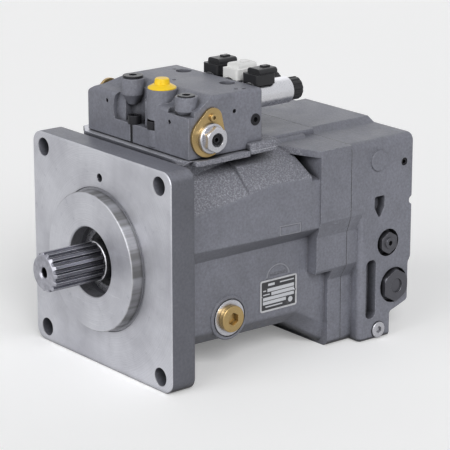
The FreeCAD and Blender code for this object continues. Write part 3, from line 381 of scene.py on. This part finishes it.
def plainMetal(name, colour, rough=0.35, metallic=0.9, grain=900.0, edge=0.0005, worn=None, dirt=0.25):
    # tinted metal with fine grain, rubbed edges and a little grime in broad patches
    mat, tree, shader, place = newMaterial(name)
    broad = noise(tree, place, 45.0, 4.0)
    fine = noise(tree, place, grain, 4.0, 0.6)
    tone = blendColour(tree, span(tree, broad, 0.35, 0.7, 0.0, dirt), colour, tinted(colour, 0.45))
    rubbed = worn or tuple(min(1.0, 1.5 * value + 0.08) for value in colour)
    tone = blendColour(tree, edgeShare(tree, edge, 0.03, 0.35), tone, rubbed)
    # painted shade: hollows darkened nearly to black
    tone = blendColour(tree, times(tree, hollowShare(tree, 0.008), 0.75), tone, tinted(colour, 0.08))
    feed(tree, shader.inputs["Base Color"], tone)
    shader.inputs["Metallic"].default_value = metallic
    feed(tree, shader.inputs["Roughness"], span(tree, fine, 0.3, 0.7, rough - 0.07, rough + 0.09))
    feed(tree, shader.inputs["Normal"], bump(tree, fine, 0.00004, 0.8, softEdge(tree, edge)))
    return mat


def mouldedPlastic(name, colour, rough=0.42):
    # moulded plastic: light mottling and a fine spark-eroded texture
    mat, tree, shader, place = newMaterial(name)
    broad = noise(tree, place, 70.0, 3.0)
    fine = noise(tree, place, 1600.0, 3.0, 0.6)
    tone = blendColour(tree, span(tree, broad, 0.35, 0.7, 0.0, 0.3), colour, tinted(colour, 0.8))
    feed(tree, shader.inputs["Base Color"], tone)
    feed(tree, shader.inputs["Roughness"], span(tree, fine, 0.3, 0.7, rough - 0.06, rough + 0.08))
    feed(tree, shader.inputs["Normal"], bump(tree, fine, 0.00003, 0.6, softEdge(tree, 0.0006)))
    return mat


plate = {
    "centre": (0.176, -0.049), "half": (0.0258, 0.0173),
    "ground": (0.03, 0.03, 0.034), "pale": (0.62, 0.63, 0.66),
    "disc": (0.0182, -0.0108), "discRadius": 0.0034, "discBlur": 0.0001,
    "fields": (((-0.016, 0.0118), (-0.006, 0.0148)), ((0.002, 0.0128), (0.0235, 0.0143)),
               ((-0.0235, 0.0058), (-0.019, 0.0072)), ((-0.0235, 0.001), (-0.0135, 0.0024)),
               ((-0.017, 0.0046), (0.0238, 0.0088)), ((-0.011, -0.0004), (0.0238, 0.0036)),
               ((-0.0238, -0.0056), (0.0238, -0.0016)), ((-0.0238, -0.0106), (0.0115, -0.0066)),
               ((-0.02, -0.0142), (0.006, -0.0126))),
}


def boxShare(tree, across, up, low, high):
    # one inside the rectangle from low to high
    inside = [calc(tree, "GREATER_THAN", across, low[0]), calc(tree, "LESS_THAN", across, high[0]),
              calc(tree, "GREATER_THAN", up, low[1]), calc(tree, "LESS_THAN", up, high[1])]
    return both(tree, *inside)


def printedPlate():
    # aluminium plate: dark printed ground inside the border, with pale fields in rows and a round mark
    mat, tree, shader, place = newMaterial("plateMetal")
    x, y, z = parts(tree, place)
    across = calc(tree, "SUBTRACT", y, plate["centre"][0])
    up = calc(tree, "SUBTRACT", z, plate["centre"][1])
    halfWide, halfHigh = plate["half"]
    ground = boxShare(tree, across, up, (-halfWide, -halfHigh), (halfWide, halfHigh))
    discAcross = calc(tree, "SUBTRACT", across, plate["disc"][0])
    discUp = calc(tree, "SUBTRACT", up, plate["disc"][1])
    light = lessShare(tree, length(tree, discAcross, discUp), plate["discRadius"], plate["discBlur"])
    for low, high in plate["fields"]:
        light = calc(tree, "MAXIMUM", light, boxShare(tree, across, up, low, high))
    fine = noise(tree, place, 900.0, 3.0)
    smudge = noise(tree, place, 120.0, 5.0, 0.6)
    inked = blendColour(tree, light, plate["ground"], plate["pale"])
    bare = blendColour(tree, span(tree, smudge, 0.4, 0.7, 0.0, 0.4), (0.68, 0.68, 0.7), (0.42, 0.42, 0.44))
    colour = blendColour(tree, ground, bare, inked)
    colour = blendColour(tree, span(tree, smudge, 0.58, 0.75, 0.0, 0.35), colour, (0.3, 0.3, 0.31))
    feed(tree, shader.inputs["Base Color"], colour)
    feed(tree, shader.inputs["Metallic"], mixNumber(tree, ground, 0.9, times(tree, light, 0.6)))
    feed(tree, shader.inputs["Roughness"], span(tree, fine, 0.3, 0.7, 0.32, 0.48))
    feed(tree, shader.inputs["Normal"], bump(tree, fine, 0.00003, 0.6, softEdge(tree, 0.0004)))
    return mat


spline = {"dark": (0.05, 0.05, 0.065), "mid": (0.13, 0.13, 0.15), "crown": (0.2, 0.2, 0.23),
          "edge": (0.86, 0.86, 0.9), "face": ((0.5, 0.5, 0.55), (0.3, 0.3, 0.34)),
          "journal": (0.6, 0.6, 0.63), "hole": (0.02, 0.02, 0.024),
          "crownRadius": 0.0226, "faceAt": -0.0772, "journalAt": -0.0105, "blur": 0.0003}


def splineSteel():
    # dark oiled steel with bright tooth edges, partly rubbed wear and partly painted highlight, and painted
    # shade in hollows; the end face and the journal are ground bright
    mat, tree, shader, place = newMaterial("shaftSteel")
    x, y, z = parts(tree, place)
    fine = noise(tree, place, 800.0, 4.0, 0.6)
    streak = noise(tree, place, 60.0, 4.0, 0.6, (9.0, 1.0, 9.0))
    tone = blendColour(tree, span(tree, streak, 0.35, 0.7), spline["dark"], spline["mid"])
    crown = moreShare(tree, axisDistance(tree, place), spline["crownRadius"], spline["blur"])
    tone = blendColour(tree, times(tree, crown, 0.6), tone, spline["crown"])
    # tooth edges lightened: partly rubbed wear, partly painted highlight
    tone = blendColour(tree, edgeShare(tree, 0.0011, 0.02, 0.2), tone, spline["edge"])
    end = lessShare(tree, y, spline["faceAt"], spline["blur"])
    cloud = noise(tree, place, 120.0, 4.0)
    face = blendColour(tree, span(tree, cloud, 0.35, 0.7), *spline["face"])
    tone = blendColour(tree, end, tone, face)
    journal = moreShare(tree, y, spline["journalAt"], spline["blur"])
    tone = blendColour(tree, journal, tone, spline["journal"])
    # painted shade: hollows and deep holes darkened nearly to black
    tone = blendColour(tree, times(tree, hollowShare(tree, 0.006), 0.7), tone, spline["hole"])
    tone = blendColour(tree, hollowShare(tree, 0.04, 0.5, 0.2), tone, spline["hole"])
    feed(tree, shader.inputs["Base Color"], tone)
    shader.inputs["Metallic"].default_value = 0.85
    feed(tree, shader.inputs["Roughness"], span(tree, fine, 0.3, 0.7, 0.26, 0.42))
    feed(tree, shader.inputs["Normal"], bump(tree, fine, 0.00005, 0.8, softEdge(tree, 0.0008)))
    return mat


print("making materials")
castBody = castPaint("castBody", flangeFaceMask, ruggedMask)
castPlain = castPaint("castPlain")
shaftSteel = splineSteel()
brightSteel = plainMetal("brightSteel", (0.55, 0.55, 0.58), 0.3)
zincPlate = plainMetal("zincPlate", (0.62, 0.62, 0.66), 0.28)
coilSteel = plainMetal("coilSteel", (0.74, 0.74, 0.77), 0.3, 1.0, 300.0, 0.0006, None, 0.12)
goldZinc = plainMetal("goldZinc", (0.52, 0.37, 0.165), 0.3)
blackOxide = plainMetal("blackOxide", (0.022, 0.022, 0.026), 0.36, 0.6, 900.0, 0.0006, (0.16, 0.16, 0.18))
greySteel = plainMetal("greySteel", (0.11, 0.11, 0.125), 0.38, 0.7, 900.0, 0.0006, (0.3, 0.3, 0.32))
bronze = plainMetal("bronze", (0.5, 0.33, 0.14), 0.35)
blackPlastic = mouldedPlastic("blackPlastic", (0.009, 0.009, 0.011), 0.38)
whitePlastic = mouldedPlastic("whitePlastic", (0.78, 0.78, 0.77))
yellowPlastic = mouldedPlastic("yellowPlastic", (0.9, 0.6, 0.01), 0.35)
sealRubber = mouldedPlastic("sealRubber", (0.02, 0.02, 0.022), 0.55)
plateMetal = printedPlate()

finishes = {
    "flange_housing": castBody, "rear_housing": castPlain, "charge_cover": castPlain,
    "control_block": castPlain, "housing_gasket": sealRubber, "housing_bolts": blackOxide,
    "socket_screws": blackOxide, "case_plug": goldZinc, "case_plug_ring": zincPlate, "drain_plug": zincPlate,
    "relief_cartridge": greySteel, "check_valve_cap": greySteel, "socket_plugs": blackOxide,
    "port_cap": yellowPlastic, "name_plate": plateMetal, "adjuster_plates": goldZinc,
    "adjuster_housing": zincPlate, "adjuster_screw": blackOxide, "solenoid_coils": coilSteel,
    "coil_nuts": blackPlastic, "connectors_black": blackPlastic, "connector_white": whitePlastic,
    "shaft_seal": sealRubber, "seal_ring": zincPlate, "drive_shaft": shaftSteel, "cradle_shells": bronze,
}
smoothing = {"merge": 0.000002, "limit": 24}


def smoothGroup():
    # merges loose corners and smooths every edge that turns less than the limit
    group = bpy.data.node_groups.new("smoothTurns", "GeometryNodeTree")
    group.interface.new_socket("Geometry", in_out="INPUT", socket_type="NodeSocketGeometry")
    group.interface.new_socket("Geometry", in_out="OUTPUT", socket_type="NodeSocketGeometry")
    start = group.nodes.new("NodeGroupInput")
    end = group.nodes.new("NodeGroupOutput")
    merge = group.nodes.new("GeometryNodeMergeByDistance")
    merge.inputs["Distance"].default_value = smoothing["merge"]
    smoothAll = group.nodes.new("GeometryNodeSetShadeSmooth")
    smoothAll.domain = "FACE"
    smoothEdge = group.nodes.new("GeometryNodeSetShadeSmooth")
    smoothEdge.domain = "EDGE"
    angle = group.nodes.new("GeometryNodeInputMeshEdgeAngle")
    compare = group.nodes.new("FunctionNodeCompare")
    compare.operation = "LESS_THAN"
    compare.inputs["B"].default_value = math.radians(smoothing["limit"])
    link = group.links.new
    link(start.outputs[0], merge.inputs["Geometry"])
    link(merge.outputs["Geometry"], smoothAll.inputs["Geometry"])
    link(smoothAll.outputs["Geometry"], smoothEdge.inputs["Geometry"])
    link(angle.outputs["Unsigned Angle"], compare.inputs["A"])
    link(compare.outputs["Result"], smoothEdge.inputs["Shade Smooth"])
    link(smoothEdge.outputs["Geometry"], end.inputs[0])
    return group


smoothTurns = smoothGroup()
for name, node in nodes.items():
    finish = finishes.get(name)
    if finish is None:
        finish = bronze if name.startswith("slipper_") and name != "slipper_retainer" else brightSteel
    node.data.materials.clear()
    node.data.materials.append(finish)
    modifier = node.modifiers.new("smoothTurns", "NODES")
    modifier.node_group = smoothTurns
print("CAD nodes finished")


studio = {
    "ground": 0.92, "lift": 0.175, "floorHeight": -0.13, "floorHalf": 8.0, "floorCells": 60,
    "world": 0.24, "glow": 0.78, "backdrop": 0.84, "cool": (0.97, 0.98, 1.0, 1.0), "white": (1.0, 1.0, 1.0, 1.0),
    "suns": (("keySun", (0.75, -0.35, 0.55), 30, 1.75), ("frontSun", (0.1, -1.0, 0.45), 60, 1.2),
             ("rearSun", (-0.55, 0.9, 0.35), 60, 0.4)),
}


def stageMaterial():
    # pale matte floor with a very faint cloud, lifted a little for the eye so that it meets the backdrop
    mat, tree, shader, place = newMaterial("paleFloor")
    seen = tree.nodes.new("ShaderNodeLightPath").outputs["Is Camera Ray"]
    shader.inputs["Emission Color"].default_value = studio["white"]
    feed(tree, shader.inputs["Emission Strength"], times(tree, seen, studio["lift"]))
    ground = studio["ground"]
    shade = blendColour(tree, noise(tree, place, 1.2, 2.0), (ground,) * 3, (ground * 0.992,) * 3)
    feed(tree, shader.inputs["Base Color"], shade)
    shader.inputs["Roughness"].default_value = 1.0
    shader.inputs["Specular IOR Level"].default_value = 0.0
    return mat


def gridMesh(name, points, rows, columns):
    # quads between neighbours of a rows by columns grid
    a, b = np.meshgrid(np.arange(rows - 1), np.arange(columns - 1), indexing="ij")
    c, d = a + 1, b + 1
    quads = np.stack([a * columns + b, c * columns + b, c * columns + d, a * columns + d], -1).reshape(-1, 4)
    mesh = bpy.data.meshes.new(name)
    mesh.from_pydata(points.tolist(), [], quads.tolist())
    mesh.update()
    piece = bpy.data.objects.new(name, mesh)
    bpy.context.scene.collection.objects.link(piece)
    return piece


def makeFloor():
    # wide level floor under the flange's lower edge
    run = np.linspace(-studio["floorHalf"], studio["floorHalf"], studio["floorCells"])
    u, v = np.meshgrid(run, run, indexing="ij")
    points = np.stack([u, v, np.full_like(u, studio["floorHeight"])], -1).reshape(-1, 3)
    return gridMesh("floor", points, len(run), len(run))


floor = makeFloor()
floor.data.materials.append(stageMaterial())


def softSun(name, toward, angle, strength):
    # a very wide sun lights the whole floor evenly and keeps a soft shadow
    lamp = bpy.data.lights.new(name, "SUN")
    lamp.angle = math.radians(angle)
    lamp.energy = strength
    holder = bpy.data.objects.new(name, lamp)
    bpy.context.scene.collection.objects.link(holder)
    holder.rotation_mode = "QUATERNION"
    holder.rotation_quaternion = Vector(toward).to_track_quat("Z", "Y")
    return holder


for name, toward, angle, strength in studio["suns"]:
    softSun(name, toward, angle, strength)

world = bpy.data.worlds.new("studioWorld")
bpy.context.scene.world = world
world.use_nodes = True
tree = world.node_tree
tree.nodes.clear()
worldOut = tree.nodes.new("ShaderNodeOutputWorld")
rays = tree.nodes.new("ShaderNodeLightPath")


def backLight(colour, strength):
    back = tree.nodes.new("ShaderNodeBackground")
    back.inputs["Color"].default_value = colour
    back.inputs["Strength"].default_value = strength
    return back.outputs[0]


def switchLight(ray, ordinary, seen):
    # the second light for this kind of ray, the first for all the others
    mix = tree.nodes.new("ShaderNodeMixShader")
    tree.links.new(rays.outputs[ray], mix.inputs["Fac"])
    tree.links.new(ordinary, mix.inputs[1])
    tree.links.new(seen, mix.inputs[2])
    return mix.outputs[0]


ambient = backLight(studio["cool"], studio["world"])
mirrored = backLight(studio["cool"], studio["glow"])
backdrop = backLight(studio["white"], studio["backdrop"])
lit = switchLight("Is Glossy Ray", ambient, mirrored)
tree.links.new(switchLight("Is Camera Ray", lit, backdrop), worldOut.inputs["Surface"])

viewPoint = {"azimuth": 51.03, "elevation": 16.54, "place": (1.9879, -1.4232, 0.7665), "lens": 176.8,
             "near": 0.1, "far": 50.0}
camera = bpy.data.objects.new("camera", bpy.data.cameras.new("camera"))
bpy.context.scene.collection.objects.link(camera)
azimuth, elevation = math.radians(viewPoint["azimuth"]), math.radians(viewPoint["elevation"])
level = math.cos(elevation)
back = Vector((math.sin(azimuth) * level, -math.cos(azimuth) * level, math.sin(elevation)))
camera.location = viewPoint["place"]
camera.rotation_mode = "QUATERNION"
camera.rotation_quaternion = (-back).to_track_quat("-Z", "Y")
camera.data.lens = viewPoint["lens"]
camera.data.clip_start, camera.data.clip_end = viewPoint["near"], viewPoint["far"]
bpy.context.scene.camera = camera
bpy.context.scene.view_settings.view_transform = "Standard"
print("stage, lamps and camera ready")
